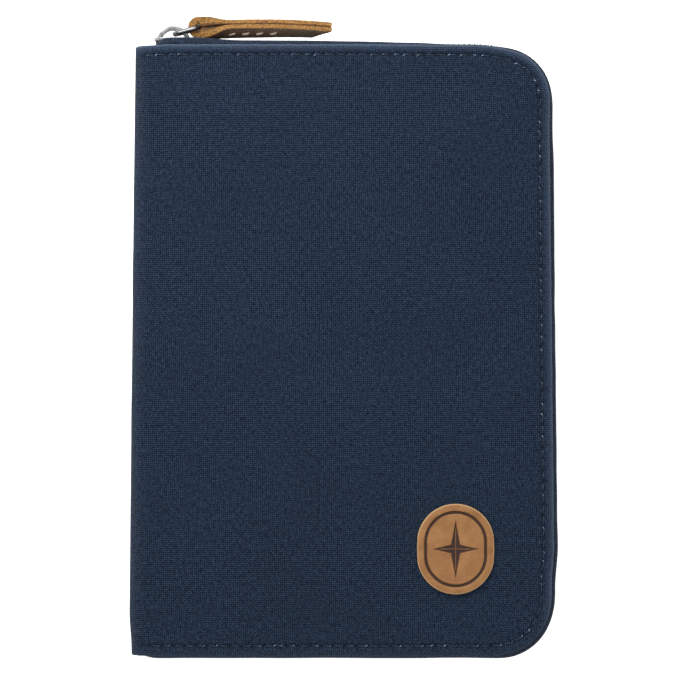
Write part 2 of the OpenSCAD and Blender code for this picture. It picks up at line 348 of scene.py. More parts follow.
def add_tube(builder, points, radii, up, sides=8, **marks):
    """Round bar along the points with closed ends."""
    radii = np.broadcast_to(radii, len(points))[:, None]
    tangent = heading(points)
    side = np.cross(tangent, np.broadcast_to(up, points.shape))
    side /= np.linalg.norm(side, axis=1)[:, None]
    lift = np.cross(side, tangent)
    turn = full_turn(sides)
    ring = side[:, None] * np.cos(turn)[:, None] + lift[:, None] * np.sin(turn)[:, None]
    xyz = points[:, None] + ring * radii[..., None]
    uv = stack(arc_length(points)[:, None], radii * turn)
    builder.loft(builder.points(xyz, uv, **marks))


def add_stitch(builder, start, end, up, radius, rise=0.1, dip=0.3, **marks):
    """One stitch of thread that rises between its two needle holes."""
    t = np.array([0, 0.07, 0.18, 0.34, 0.5, 0.66, 0.82, 0.93, 1])
    height = rise - (rise + dip) * np.abs(2 * t - 1) ** 3.5
    points = start + (end - start) * t[:, None] + np.asarray(up) * height[:, None]
    swell = radius * np.array([0.35, 0.75, 0.95, 1, 1, 1, 0.95, 0.75, 0.35])
    add_tube(builder, points, swell, up, **marks)


def seam_piece(name, thread, body, lines, up, **form):
    """Straight rows of stitches between pairs of points, as one piece that rides on a body."""
    work = Builder()
    for start, end in np.array(lines, float):
        count = max(1, round(np.linalg.norm(end - start) / SEAM_PITCH))
        step = (end - start) / count
        for i in range(count):
            first = start + step * (i + SEAM_GAP / 2 / SEAM_PITCH)
            add_stitch(work, first, first + step * (1 - SEAM_GAP / SEAM_PITCH), up, **form)
    hand_over(work.build(name, thread), body)


def spaced(low, high, step):
    """Grid lines from low to high: close together at both ends, step apart between them."""
    fine = np.array([0, 0.05, 0.14, 0.3, 0.6, 1.1]) * min(1, (high - low) / 4)
    inner = np.linspace(low + fine[-1], high - fine[-1], max(2, round((high - low) / step)) + 1)
    return np.concatenate([low + fine[:-1], inner, (high - fine[:-1])[::-1]])


def beside(lines, edges):
    """Grid lines with close ones at the edges of a window instead of those near them."""
    close = [edge + offset for edge in edges for offset in (-0.6, -0.3, -0.14, -0.05, 0, 0.05)]
    return np.unique(np.concatenate([lines[np.abs(lines[:, None] - edges).min(1) > 0.7], close]))


def add_panel(builder, low, high, z, step, radii=(0, 0, 0, 0), window=None, lift=None):
    """Flat piece of cloth between two heights with rolled edges.

    radii are for the corners (left, low y), (right, low y), (right, high y), (left, high y). lift
    moves both faces up by a function of x and y. window is (x0, y0, x1, y1), left open.
    """
    half = (z[1] - z[0]) / 2
    xs, ys = spaced(low[0], high[0], step), spaced(low[1], high[1], step)
    if window:
        xs, ys = beside(xs, window[0::2]), beside(ys, window[1::2])
    x, y = np.meshgrid(xs, ys)
    uv = stack(x, y)
    inside = np.minimum.reduce([x - low[0], high[0] - x, y - low[1], high[1] - y])
    if window:
        outside = np.maximum.reduce([window[0] - x, x - window[2], window[1] - y, y - window[3]])
        inside = np.minimum(inside, np.maximum(outside, 0))
    for (way_x, way_y), r in zip(CORNERS, radii):
        if r:
            ox = (high if way_x > 0 else low)[0] - way_x * r
            oy = (high if way_y > 0 else low)[1] - way_y * r
            dx, dy = (x - ox) * way_x, (y - oy) * way_y
            corner = (dx > 0) & (dy > 0)
            shrink = np.where(corner, np.maximum(dx, dy) / np.hypot(dx, dy).clip(1e-9), 1)
            x, y = ox + (x - ox) * shrink, oy + (y - oy) * shrink
    level = sum(z) / 2 + (lift(x, y) if lift else 0)
    swell = half * np.sqrt(np.clip(1 - (1 - np.minimum(inside / half, 1)) ** 2, 0, 1))
    rim = np.clip(1 - inside / 1.2, 0, 1)
    top = builder.points(stack(x, y, level + swell), uv, worn=rim)
    under = builder.points(stack(x, y, level - swell), uv, worn=rim)
    under = np.where(inside <= 1e-9, top, under)
    keep = True
    if window:
        mid_x, mid_y = (xs[:-1] + xs[1:]) / 2, (ys[:-1] + ys[1:]) / 2
        in_x = (mid_x > window[0]) & (mid_x < window[2])
        in_y = (mid_y > window[1]) & (mid_y < window[3])
        keep = ~(in_y[:, None] & in_x)
    builder.grid(top, keep)
    builder.grid(under, keep, winding=-1)


def panel_piece(name, material, place, low, high, z, **form):
    """A single panel as a piece of its own."""
    work = Builder()
    add_panel(work, low, high, z, **form)
    hand_over(work.build(name, material), place)


def hand_over(obj, place):
    """Puts a finished piece in place of the CAD node it stands for, or lets it ride on a body."""
    if place in frame["bodies"]:
        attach(obj, place)
    else:
        parent = frame["nodes"][place].parent
        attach(obj, next(name for name, empty in frame["bodies"].items() if empty == parent))
        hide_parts(place)


def dress(node, width, material):
    """Copy of a hard CAD node with its edges rounded off by width."""
    work = bmesh.new()
    work.from_mesh(frame["nodes"][node].data)
    bmesh.ops.remove_doubles(work, verts=work.verts, dist=2e-6)
    bmesh.ops.dissolve_limit(work, angle_limit=0.01, verts=work.verts, edges=work.edges)
    if width:
        edges = [e for e in work.edges if e.is_manifold and e.calc_face_angle() > 0.6]
        bmesh.ops.bevel(work, geom=edges, offset=width * MM, segments=3, profile=0.5,
                        affect="EDGES", clamp_overlap=True)
    bmesh.ops.triangulate(work, faces=[f for f in work.faces if len(f.verts) > 4])
    mesh = bpy.data.meshes.new(node + "_finish")
    work.to_mesh(mesh)
    work.free()
    hand_over(finished(mesh, material, 40), node)


# ---- the zipped edges

def edge_frame(s, start, radius):
    """Base point and outward normal at distance s along the three zipped edges.

    The path starts on the slider's edge at x = start, turns round the opening edge and comes back.
    A point at inset d is base + (CORNER_R - d) * normal. s is measured at the given corner radius.
    """
    run, bend, side = CORNER_X - start, radius * math.pi / 2, 2 * CORNER_Y
    a, b, c, d = np.cumsum([run, bend, side, bend])
    turn = np.radians(90 - 90 * np.clip((s - a) / bend, 0, 1) - 90 * np.clip((s - c) / bend, 0, 1))
    x = CORNER_X - np.maximum(a - s, 0) - np.maximum(s - d, 0)
    y = CORNER_Y - np.clip(s - b, 0, side)
    return stack(x, y), stack(np.cos(turn), np.sin(turn))


def edge_stations(start, step, radius=CORNER_R):
    """Distances along the zipped edges, one at each end of each corner, and the count between."""
    bend = radius * math.pi / 2
    lengths = [CORNER_X - start, bend, 2 * CORNER_Y, bend, CORNER_X - start]
    counts = [max(2, 2 * round(length / step / 2)) for length in lengths]
    stations = [np.zeros(1)]
    for length, count in zip(lengths, counts):
        stations.append(stations[-1][-1] + np.linspace(0, length, count + 1)[1:])
    return np.concatenate(stations), counts


def edge_points(s, start, inset, radius=CORNER_R):
    """(x, y) at inset from the outline, at distance s. inset may be an array that broadcasts."""
    base, normal = edge_frame(s, start, radius)
    return base + (CORNER_R - np.asarray(inset))[..., None] * normal


def inset_of(points):
    """Distance from the covers' outline in to each (u, y) point."""
    x = points[..., 0] - CORNER_X
    y = np.abs(points[..., 1]) - CORNER_Y
    corner = np.hypot(np.maximum(x, 0), np.maximum(y, 0))
    return CORNER_R - np.where((x > 0) & (y > 0), corner, np.maximum(x, y))


def wrap(points, h, front):
    """Places (u, y) points at height h outside the cover, on round the fold and down the spine."""
    u, y = points[..., 0], points[..., 1]
    over = np.maximum(FOLD_X - u, 0)
    turn = np.minimum(over / FOLD_R, math.pi / 2)
    run = np.maximum(over - FOLD_ARC, 0)
    x = np.where(over > 0, FOLD_X - (FOLD_R + h) * np.sin(turn), u)
    deep = np.where(over > 0, FOLD_R - (FOLD_R + h) * np.cos(turn) + run, -h)
    tuck = 0.8 * smooth((FOLD_X + 5.5 - u) / 10) + 0.3 * smooth((FOLD_X - 4.5 - u) / 3)
    tuck = tuck * np.where(y < 0, 0.2, 0.5)
    y = y - np.sign(y) * tuck * smooth((np.abs(y) - 0.85 * HALF_H) / (0.15 * HALF_H))
    return stack(x, y, THICK - deep if front else deep)


def lengths_at(radius):
    """Distances from the spine to the ends of the zipped edges' corners, turned at this radius."""
    run, bend = CORNER_X - SPINE_U, radius * math.pi / 2
    return np.cumsum([0, run, bend, 2 * CORNER_Y, bend, run])


# Matching distances along the outline and along the row of topstitching from its first hole.
OUTLINE = lengths_at(CORNER_R)
SEWN = lengths_at(CORNER_R - STITCH_INSET) - (STITCH_LEFT - SPINE_U)


def needle_holes(s):
    """1 beside a needle hole of the topstitching and 0 halfway between two."""
    return 0.5 + 0.5 * np.cos(2 * math.pi * np.interp(s, OUTLINE, SEWN) / STITCH_PITCH)


def canvas_height(points, s, front):
    """Height of the canvas: crowned, drawn in along the stitching and puckered beside it."""
    u, y = points[..., 0], points[..., 1]
    d = inset_of(points)
    seed = SEEDS[front]
    hole = needle_holes(s)
    rows = smooth((u - STITCH_LEFT + 1.5) / 1.5)
    h = CROWN[front] * smooth((d - 2.5) / 22) * smooth((u - LEFT + 1) / 16)
    h = h + 0.13 * ripple(u, y, seed, 60, 16) * smooth((d - 3) / 9) * smooth((u - SPINE_U) / 6)
    h = h - rows * (0.3 + 0.16 * hole ** 4) * bump(d, STITCH_INSET, 0.42)
    h = h + rows * 0.1 * bump(d, 1.35, 0.5) * (1.1 - hole)
    pucker = ripple(s, 0 * s, seed + 1, 9, 2.8)
    h = h + rows * 0.09 * pucker * np.exp(-np.abs(d - STITCH_INSET) / 1.9) * smooth((d - 0.6) / 0.8)
    down = smooth((FOLD_X - FOLD_ARC - u) / (MID - FOLD_R))
    return h + 0.15 * down * (1 - 0.7 * (np.abs(y) / HALF_H) ** 4)


# ---- sheets as large as a cover

class Rings:
    """Sheet of (u, y) points: rings along the zipped edges round a block of rows and columns."""

    def __init__(self, step):
        self.s, counts = edge_stations(SPINE_U, step)
        self.columns = counts[0] + counts[1] // 2
        self.rows = counts[2] + counts[1]
        self.block = self.fill(edge_points(self.s, SPINE_U, BLOCK_INSET))

    def sides(self, ring):
        """Splits the values along a ring into its slider, opening and far edges."""
        a, b = self.columns, self.columns + self.rows
        return ring[:a + 1], ring[a:b + 1][::-1], ring[b:][::-1]

    def fill(self, ring):
        """Coons patch inside a ring of points. Row 0 lies along the far edge."""
        top, right, bottom = self.sides(ring)
        share = (right[:, 1] - right[0, 1]) / (right[-1, 1] - right[0, 1])
        left = bottom[0] + (top[0] - bottom[0]) * share[:, None]
        p = ((top[:, 0] - top[0, 0]) / (top[-1, 0] - top[0, 0]))[None, :, None]
        q = share[:, None, None]
        sides = (1 - p) * left[:, None] + p * right[:, None]
        ends = (1 - q) * bottom + q * top
        corners = ((1 - p) * (1 - q) * bottom[0] + p * (1 - q) * bottom[-1]
                   + (1 - p) * q * top[0] + p * q * top[-1])
        return sides + ends - corners

    def joined(self, ring, block):
        """Vertex numbers of the block with its border replaced by the innermost ring's."""
        top, right, bottom = self.sides(ring)
        full = block.copy()
        full[-1], full[:, -1], full[0] = top, right, bottom
        return full


def cover_sheet(front, step, edge, face, back, relief, waver=0.0):
    """Closed sheet over one cover, round the fold and down to the middle of the spine.

    edge, face and back list (inset, height) of rings: round the sheet's edge from its face to its
    back, then inwards over each side to BLOCK_INSET. relief adds to the face's height.
    """
    work = Builder(settled=True)
    sheet = Rings(step)
    s = sheet.s
    sway = waver * ripple(s, 0 * s, SEEDS[front] + 2, 12, 3)

    def rings(pairs, shaped=False, worn=0.0):
        d, h = (np.array(column, float)[:, None] + 0 * s for column in zip(*pairs))
        points = edge_points(s, SPINE_U, d + sway * smooth((3 - d) / 3))
        if shaped:
            h = h + relief(points, s[None], front)
        rows = smooth(points[..., 0] - STITCH_LEFT + 1)
        # Painted shade along the stitching groove, darkest at the needle holes.
        pit = shaped * rows * bump(d, STITCH_INSET, 0.4) * (0.35 + 0.65 * needle_holes(s) ** 5)
        # Hems are paler partly from wear and partly as a painted highlight; near the bottom hem, which
        # lies in shade, much less.
        worn = worn * (1 - 0.75 * smooth((-points[..., 1] - 58) / 10))
        flat = edge_points(s, SPINE_U, d + h * (d < HEM_R))
        return work.points(wrap(points, h, front), flat, pit=pit, worn=worn)

    face_rings = rings(face, True, 0.35 * bump(np.array(face)[:, :1], 0.5, 0.8))
    edge_rings = rings(edge, worn=0.8)
    back_rings = rings(back)
    block = sheet.block
    level = face[-1][1] + relief(block, np.zeros(1), front)
    face_block = work.points(wrap(block, level, front), block)
    back_block = work.points(wrap(block, back[-1][1], front), block)
    face_block = sheet.joined(face_rings[-1], face_block)
    back_block = sheet.joined(back_rings[-1], back_block)
    work.grid(np.vstack([face_rings[::-1], edge_rings, back_rings]))
    work.grid(face_block)
    work.grid(back_block)
    work.grid(np.stack([face_block[:, 0], back_block[:, 0]]))
    for end in (0, -1):
        work.face(face_rings[::-1, end], edge_rings[:, end], back_rings[:, end])
    return work


def hand_over_sheet(obj, front, node, spine_node):
    """Bakes the sheet into place and hides the cover's CAD node. The back sheet also stands for the
    spine's.
    """
    if front:
        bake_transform(obj)
        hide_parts(node)
    else:
        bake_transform(obj)
        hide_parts(node, spine_node)


def canvas_cloth(front, material):
    roll = np.radians([60, 36, 12, -12, -36, -60, -90])
    edge = [(HEM_R * (1 - math.cos(a)), HEM_R * (math.sin(a) - 1)) for a in roll]
    insets = [HEM_R, 0.95, 1.2, 1.5, 1.8, 2.05, 2.25, 2.45, 2.65, 2.85, 3.1, 3.5, 4.1, 5, 6.4, 8.2]
    face = [(d, 0) for d in insets + [BLOCK_INSET]]
    back = [(2, -2 * HEM_R), (HEM_W - 0.2, -2 * HEM_R), (HEM_W + 0.2, -CANVAS_T),
            (BLOCK_INSET, -CANVAS_T)]
    work = cover_sheet(front, 0.68, edge, face, back, canvas_height, waver=0.06)
    cloth = work.build(SIDE[front] + "_canvas", material)
    hand_over_sheet(cloth, front, SIDE[front] + "_cover", "spine_panel")


def lining_height(points, s, front):
    """The lining's inner face sags between its seams and creases softly near the spine."""
    u, y = points[..., 0], points[..., 1]
    d = inset_of(points)
    soft = ripple(u, y, SEEDS[front] + 5, 34, 9) * smooth((d - 2.5) / 6) * smooth((u - SPINE_U) / 6)
    return -0.07 * (soft + 0.8 * smooth((d - 2) / 9))


def lining_cloth(front, material):
    face = [(d, LINING_H) for d in (1.62, 1.8, 2.6, 4.5, 7, BLOCK_INSET)]
    edge = [(1.5, LINING_H + 0.1), (1.5, LINING_BACK_H - 0.08)]
    back = [(d, LINING_BACK_H) for d in (1.6, 5, BLOCK_INSET)]
    work = cover_sheet(front, 1.3, edge, face, back, lining_height)
    cloth = work.build(SIDE[front] + "_lining_cloth", material)
    hand_over_sheet(cloth, front, SIDE[front] + "_lining", "spine_lining")


def topstitch(front, material):
    """Row of stitches sewn into the canvas along the zipped edges, each crossed by a short light stitch
    as a painted highlight.
    """
    count = int((SEWN[-1] - (STITCH_LEFT - SPINE_U)) / STITCH_PITCH)
    rng = np.random.default_rng(SEEDS[front] + 9)
    work = Builder(settled=True)

    def sew(first, last, insets, rise, level=None, **form):
        """One stitch between two places counted in stitches, and the level it lies at."""
        ends = np.interp(np.array([first, last]) * STITCH_PITCH, SEWN, OUTLINE)
        points = edge_points(ends, SPINE_U, STITCH_INSET + np.array(insets))
        if level is None:
            middle = edge_points(ends.mean(), SPINE_U, STITCH_INSET)
            level = canvas_height(middle, ends.mean(), front) + STITCH_UP
        placed = wrap(points, np.full(2, level), front)
        add_stitch(work, *placed, UP if front else DOWN, rise=rise, **form)
        return level

    for i in range(count):
        lean = 0.1 + 0.07 * rng.random()
        # Each long stitch has a faint painted highlight, and a short crossing stitch a stronger one.
        level = sew(i + 0.14, i + 0.86, (-lean, lean), 0.05, radius=0.17, glint=0.1)
        place = i + 0.5 * rng.random()
        sway = 0.2 * rng.random() - 0.05
        glint = rng.random()
        sew(place - 0.1, place + 0.1, (sway + 0.16, sway - 0.16), 0.13, level + 0.02,
            radius=0.06 + 0.08 * glint, dip=0.1, glint=glint)
    hand_over(work.build(SIDE[front] + "_topstitch_thread", material), SIDE[front] + "_topstitch")


# ---- zip

def zip_level(c, front):
    """Height of a point at distance c from the middle of the zip, in its front or back half."""
    return MID + c if front else MID - c


def bulge(c, x, y):
    """How far the puffed tape stands out beside the coil, most of all next to the parked slider."""
    puff = np.sin(math.pi * np.clip((c - 3.72) / (TAPE_W - 3.6), 0, 1)) ** 0.6
    slider_edge = smooth((y - 40) / 25)
    by_slider = (0.5 - 0.2 * smooth((x + 14) / 14) - 0.3 * smooth((x - 3) / 14)
                 - 0.4 * smooth((x - 16) / 12))
    opening = 0.4 * smooth((x - CORNER_X) / 6)
    beside_slider = 0.72 * smooth((x - SLIDER_X + 6) / 5) * smooth((SLIDER_X + 17 - x) / 13)
    size = 1.5 + opening + (by_slider + beside_slider) * slider_edge + 0.1 * ripple(x, y, 5, 60, 9)
    size = size * (1 - slider_edge * smooth((LEFT + 6.8 - x) / 3))
    return size * puff


def zip_tape(front, material):
    """The tape stands between the coil and the canvas, with its end sunk behind the spine."""
    start = LEFT + 0.9
    s, _ = edge_stations(start, 1.1, TAPE_R)
    c = np.array([0.32, 0.9, 1.8, 2.6, 3.1, 3.7, 3.9, 4.2, 4.6, 5.2, 5.8, 6.4, 6.9, 7.3, 7.6, 7.85])
    x, y = np.moveaxis(edge_points(s, start, 0, TAPE_R), -1, 0)
    over = np.maximum(FOLD_X - x, 0)
    reach = np.minimum(TAPE_W, MID - FOLD_R + np.sqrt(np.maximum(3.2 ** 2 - over ** 2, 0)))
    closing = 0.26 * smooth((TAPE_END_X - x) / 2) * (c < 0.5)[:, None]
    width = np.minimum(c[:, None], reach) - closing
    out = bulge(width, x, y) - 0.9 * smooth((TAPE_END_X - x) / 5)
    n = np.vstack([out + TAPE_T, out[::-1]])
    width = np.vstack([width, width[::-1]])
    points = edge_points(s, start, TAPE_INSET - n, TAPE_R)
    work = Builder(settled=True)
    index = work.points(raised(points, zip_level(width, front)), stack(s, width))
    work.loft(index.T)
    hand_over(work.build(SIDE[front] + "_zip_tape_cloth", material), SIDE[front] + "_zip_tape")


def helix(length, pitch, near, far, low, high, wire, shift):
    """Along, across and out of the tape, for one half of a coil."""
    turns = length / pitch
    phase = np.linspace(0, 2 * math.pi * turns, int(turns * 12) + 1) + shift
    along = np.linspace(0, length, len(phase))
    across = (near + far) / 2 + ((far - near) / 2 - wire) * np.cos(phase)
    out = (low + high) / 2 + ((high - low) / 2 - wire) * np.sin(phase)
    return along, across, out


def zip_stops(front, material):
    """A moulded bar at each end of this half of the zip."""
    node = SIDE[front] + "_zip_stops"
    x = box(node)[0][0] + 0.65
    z = zip_level(np.array([0.45, 0.6, 1.1, 1.8, 2.3, 2.45]), front)
    work = Builder(settled=True)
    for way in (1, -1):
        points = stack(x, way * (HALF_H - TAPE_INSET + 0.8), z)
        add_tube(work, points, [0.3, 0.46, 0.52, 0.52, 0.46, 0.3], (1, 0, 0), sides=12)
    hand_over(work.build(SIDE[front] + "_zip_stop_bars", material), node)


def zip_coil(front, material):
    """Half of the coil. On the slider's edge the front half starts just past the parked slider."""
    total = 2 * (CORNER_X - COIL_X) + math.pi * TAPE_R + 2 * CORNER_Y
    s, c, n = helix(total, COIL_PITCH, COIL_NEAR, COIL_FAR, TAPE_T - 0.05, WIRE_TOP, WIRE_R,
                    math.pi if front else 0)
    keep = s >= (SLIDER_X + SLIDER_CLEAR - COIL_X if front else 0)
    s, c, n = s[keep], c[keep], n[keep]
    _, normal = edge_frame(s, COIL_X, TAPE_R)
    points = raised(edge_points(s, COIL_X, TAPE_INSET - n, TAPE_R), zip_level(c, front))
    work = Builder(settled=True)
    add_tube(work, points, WIRE_R, raised(turned(normal), 0), sides=6)
    hand_over(work.build(SIDE[front] + "_zip_coil_wire", material), SIDE[front] + "_zip_coil")


# ---- leather puller and badge

def strap_turn(x):
    """The strap twists as it leaves the ring, so that its far edge hangs lower."""
    return np.radians(27.5) * smooth((x - 0.8) / 7) - np.radians(7.5) * smooth((x - 12) / 19)


def strap_rise(x):
    return STRAP_RISE * smooth(x / 6)


def strap_place(x, n, w):
    """World place of a point on the strap: x along it, n through both layers, w across its width."""
    turn = strap_turn(x)
    bow = 0.62 * np.sin(math.pi * np.clip((x - 1) / 31, 0, 1)) ** 0.8
    middle = strap_rise(x) + bow - 0.35 * (np.maximum(x, 0) / 32) ** 2
    n = n - strap_rise(x)
    out = middle + n * np.cos(turn) - w * np.sin(turn)
    across = STRAP_W / 2 - w * np.cos(turn) - n * np.sin(turn)
    return stack(BAR[0] + x, BAR[1] + out, MID + across)


def strap_path(end):
    """Middle line of the folded hide for a strap of this length: (x, n), out, round and back."""
    half = HIDE_T / 2
    above, below = STRAP_RISE + half + HIDE_GAP, STRAP_RISE - half - HIDE_GAP
    turn = np.radians(np.linspace(100, 260, 17))
    loop = (LOOP_R - half) * stack(np.cos(turn), np.sin(turn))
    upper = [(STRAP_FLAT_X, above), (7.4, above + 0.01), (5.6, 1.24), (4, 1.55), (2.4, 1.85), (1, 1.98)]
    lower = [(1, -1.98), (2.4, -1.83), (3.8, -1.38), (5.4, -0.7), (7.2, below - 0.03),
             (STRAP_FLAT_X, below)]
    bend = catmull(upper + loop.tolist() + lower, 3)
    share = np.concatenate([np.linspace(0, 0.97, 30), [0.988, 1]])[1:]
    x = STRAP_FLAT_X + (end - STRAP_FLAT_X) * share
    return np.vstack([stack(x, above)[::-1], bend, stack(x, below)])


def hide_section():
    """Rounded oblong (a, w) round a strip of hide: a from -1 to 1 through it, w across it."""
    r, side = 0.24, 0.4
    turn = np.radians(np.linspace(0, 90, 4))
    round_a, round_w = side * (1 - np.cos(turn)), r * (1 - np.sin(turn))
    edge = np.linspace(side - 1, 1 - side, 5)[1:-1]
    face = np.linspace(r, STRAP_W - r, 10)[1:-1]
    near = [*zip(-1 + round_a, round_w), *zip(edge, 0 * edge), *zip(1 - round_a[::-1], round_w[::-1])]
    far = [(-a, STRAP_W - w) for a, w in near]
    return near + [(1, w) for w in face] + far + [(-1, w) for w in face[::-1]]


def leather_puller(material):
    """The strip runs out along the strap, round the ring's bar and home, thicker inside the loop."""
    reach = box("leather_puller")[1][0] - BAR[0]
    half = HIDE_T / 2 - 0.01
    rows = []
    for a, w in hide_section():
        path = strap_path(reach - w)
        x, n = path.T
        upper = path[:len(path) // 2][::-1]
        apart = np.interp(x, upper[:, 0], upper[:, 1]) - strap_rise(x)
        full = 1.2 + (apart - 1.2) * smooth((x - 0.1) / 0.45)
        inner = np.where(x < 0.5, full, np.minimum(full, apart)) - HIDE_GAP
        through = (a + 1) / 2 * (half + inner) - inner
        line = path + through[:, None] * turned(heading(path))
        rough = 0.04 * ripple(x, n * 3 + 2 * a, 31, 3, 0.6) * (abs(w - STRAP_W / 2) > 2)
        rows.append((line[:, 0], line[:, 1], w + rough, arc_length(path), a + 0 * x))
    x, n, w, along, a = (np.stack(column, axis=1) for column in zip(*rows))
    raw = smooth((np.abs(w - STRAP_W / 2) - 2.3) / 0.12)
    raw[:2] = raw[-2:] = 1
    inside = smooth((-a - 0.1) / 0.8)
    # The hide's inner side is its own darker colour; near the loop the cut edges are darkened too, as
    # painted shade in the gap between the layers.
    flesh = np.maximum(inside * (1 - raw), inside * smooth((7 - x) / 5) * smooth(x + 1))
    work = Builder()
    work.loft(work.points(strap_place(x, n, w), stack(along, w + 7 * (a < 0)),
                          # low marks the lower face, whose colours are painted lighter against its
                          # shade.
                          raw=raw, flesh=flesh, worn=smooth((x - 3) / 26), low=smooth(0.5 - n),
                          # Painted shade in the crevice where the two layers meet.
                          join=smooth((-a - 0.3) / 0.6) * smooth((x - 1) / 3)))
    hand_over(work.build("leather_puller_hide", material, sharp=65), "leather_puller")


def puller_stitches(material):
    """Slanting cream stitches through both layers, seen on each face of the strap."""
    work = Builder()
    for i in range(4):
        for side in (-1, 1):
            x = PULLER_STITCH_X + PULLER_STITCH_PITCH * i + np.array([-0.95, 0.95])
            n = STRAP_RISE + side * (HIDE_T + 0.02)
            ends = strap_place(x, n, np.array([2.95, 2.25]))
            up = strap_place(x.mean(), n + side, 2.5) - strap_place(x.mean(), n, 2.5)
            add_stitch(work, *ends, up, radius=0.27, rise=0.16, dip=0.35)
    hand_over(work.build("puller_cream_thread", material), "puller_stitches")


def leather_badge(material):
    """Oval leather badge on the canvas, with a pressed ring and a four-pointed star."""
    low, high = box("leather_badge")
    centre = (low + high) / 2
    radius = (high[0] - low[0]) / 2
    rise = (high[1] - low[1]) / 2 - radius
    top = high[2] - low[2]
    turn = full_turn(300)
    rim_x = radius * np.cos(turn)
    rim_y = radius * np.sin(turn) + rise * np.clip(6 * np.sin(turn), -1, 1)
    edge = [(0.985, -0.25), (0.997, 0), (1, 0.2), (1, top - 0.34), (0.995, top - 0.16),
            (0.984, top - 0.05)]
    share, level = np.array(edge + [(part, top) for part in np.linspace(0.966, 0.01, 66)]).T
    x, y = share[:, None] * rim_x, share[:, None] * rim_y
    d = radius - np.hypot(x, np.maximum(np.abs(y) - rise, 0))
    ring = smooth((0.41 - np.abs(d - 2.05)) / 0.16)
    star = np.full(x.shape, 9.0)
    for long_x, long_y in ((radius - 4.0, 1.25), (1.25, radius - 2.5)):
        away = (np.abs(x) / long_x + np.abs(y) / long_y - 1) / math.hypot(1 / long_x, 1 / long_y)
        star = np.minimum(star, away)
    pressed = smooth(0.5 - star / 0.2)
    ray = smooth((0.2 - np.minimum(np.abs(x), np.abs(y))) / 0.12) * smooth((-star - 0.15) / 0.2)
    worn = ripple(x, y, 71, 9, 2.5)
    level = level[:, None] + (0.03 * worn - 0.28 * ring - 0.28 * pressed) * (d > 0.25)
    level = level + 0.1 * bump(d, 1.1, 0.5) + 0.14 * ray
    points = stack(centre[0] + x, centre[1] + y)
    ground = canvas_height(points, np.zeros(1), True)
    burn = np.clip(ring + pressed * (1 - 0.45 * ray), 0, 1)
    work = Builder()
    # raw marks the cut rim, which the material paints pale as a highlight.
    work.loft(work.points(raised(points, low[2] + ground + level), burn=burn,
                          raw=smooth((0.3 - d) / 0.15), worn=0.5 + 0.5 * worn))
    hand_over(work.build("leather_badge_hide", material), "leather_badge")


# ---- inside of the back cover

def wave(seed, size, longest=45, shortest=14):
    return lambda x, y: size * ripple(x, y, seed, longest, shortest)


def passport_pocket(cloth, tape, thread):
    low, high = box("passport_pocket")
    corner = CORNER_R - (RIGHT - high[0])
    soft = wave(3, 0.13)
    panel_piece("passport_pocket_cloth", cloth, "passport_pocket", low, high, (low[2], high[2]),
                radii=(0, corner, corner, 0), step=1.6, lift=soft)
    gusset(low[0], box("passport_gusset"), cloth)
    low, high = box("pocket_binding")
    z = (low[2] - 0.05, high[2] + 0.1)
    panel_piece("pocket_binding_tape", tape, "pocket_binding", low, high, z, step=1.2, lift=soft)
    x, level = high[0] - 0.75, high[2] + 0.08
    line = ((x, low[1] + 1, level), (x, high[1] - 1, level))
    seam_piece("pocket_binding_thread", thread, "back", [line], UP, radius=0.15, rise=0.08)


def gusset(start, size, cloth):
    """Pleated wall that joins the passport pocket to the lining along its three closed edges."""
    low, high = size[0][2], size[1][2]
    inset = RIGHT - size[1][0]
    line = catmull([(0.15, 0), (0.3, 0.2), (1.35, 0.5), (0.35, 0.8), (0.15, 1)], 5)
    depth = np.concatenate([line[:, 0], line[::-1, 0] + 0.4]) + inset
    z = low + (high - low) * np.concatenate([line[:, 1], line[::-1, 1]])[:, None]
    s, _ = edge_stations(start, 1.5, CORNER_R - inset)
    soft = 0.12 * ripple(s, 0 * s, 14, 25, 6)
    points = edge_points(s, start, depth[:, None] + soft * 0.8, CORNER_R - inset)
    work = Builder()
    work.loft(work.points(raised(points, z), stack(s, z)).T)
    hand_over(work.build("passport_gusset_cloth", cloth), "passport_gusset")


def coin_pocket(cloth, tape, thread, coil):
    low, high = box("coin_pocket")
    base = box("coin_edging")[0][2]
    (x0, y0, _), (x1, y1, top) = box("coin_zip_tape")
    window = (x0, y0, x1, y1)
    middle = (y0 + y1) / 2
    round_corners = (2, 2, 2, 2)
    level = high[2] + 0.1
    panel_piece("coin_pocket_cloth", cloth, "coin_pocket", low, high, (low[2], level),
                radii=round_corners, step=1.6, window=window, lift=wave(21, 0.1))
    hole = (low[0] + 2, low[1] + 2, high[0] - 2, high[1] - 2)
    panel_piece("coin_edging_piping", tape, "coin_edging", low - 0.25, high + 0.25,
                (base, low[2] + 0.12), radii=round_corners, step=2, window=hole)
    lines = []
    for inset, loop in ((1.1, (low[0], low[1], high[0], high[1])), (-0.9, window)):
        a, b, c, d = loop[0] + inset, loop[1] + inset, loop[2] - inset, loop[3] - inset
        corners = [(a, b, level), (c, b, level), (c, d, level), (a, d, level), (a, b, level)]
        lines += zip(corners, corners[1:])
    seam_piece("coin_pocket_thread", thread, "back", lines, UP, radius=0.14, rise=0.1)
    coin_zip(tape, coil, x0, x1, middle, top)


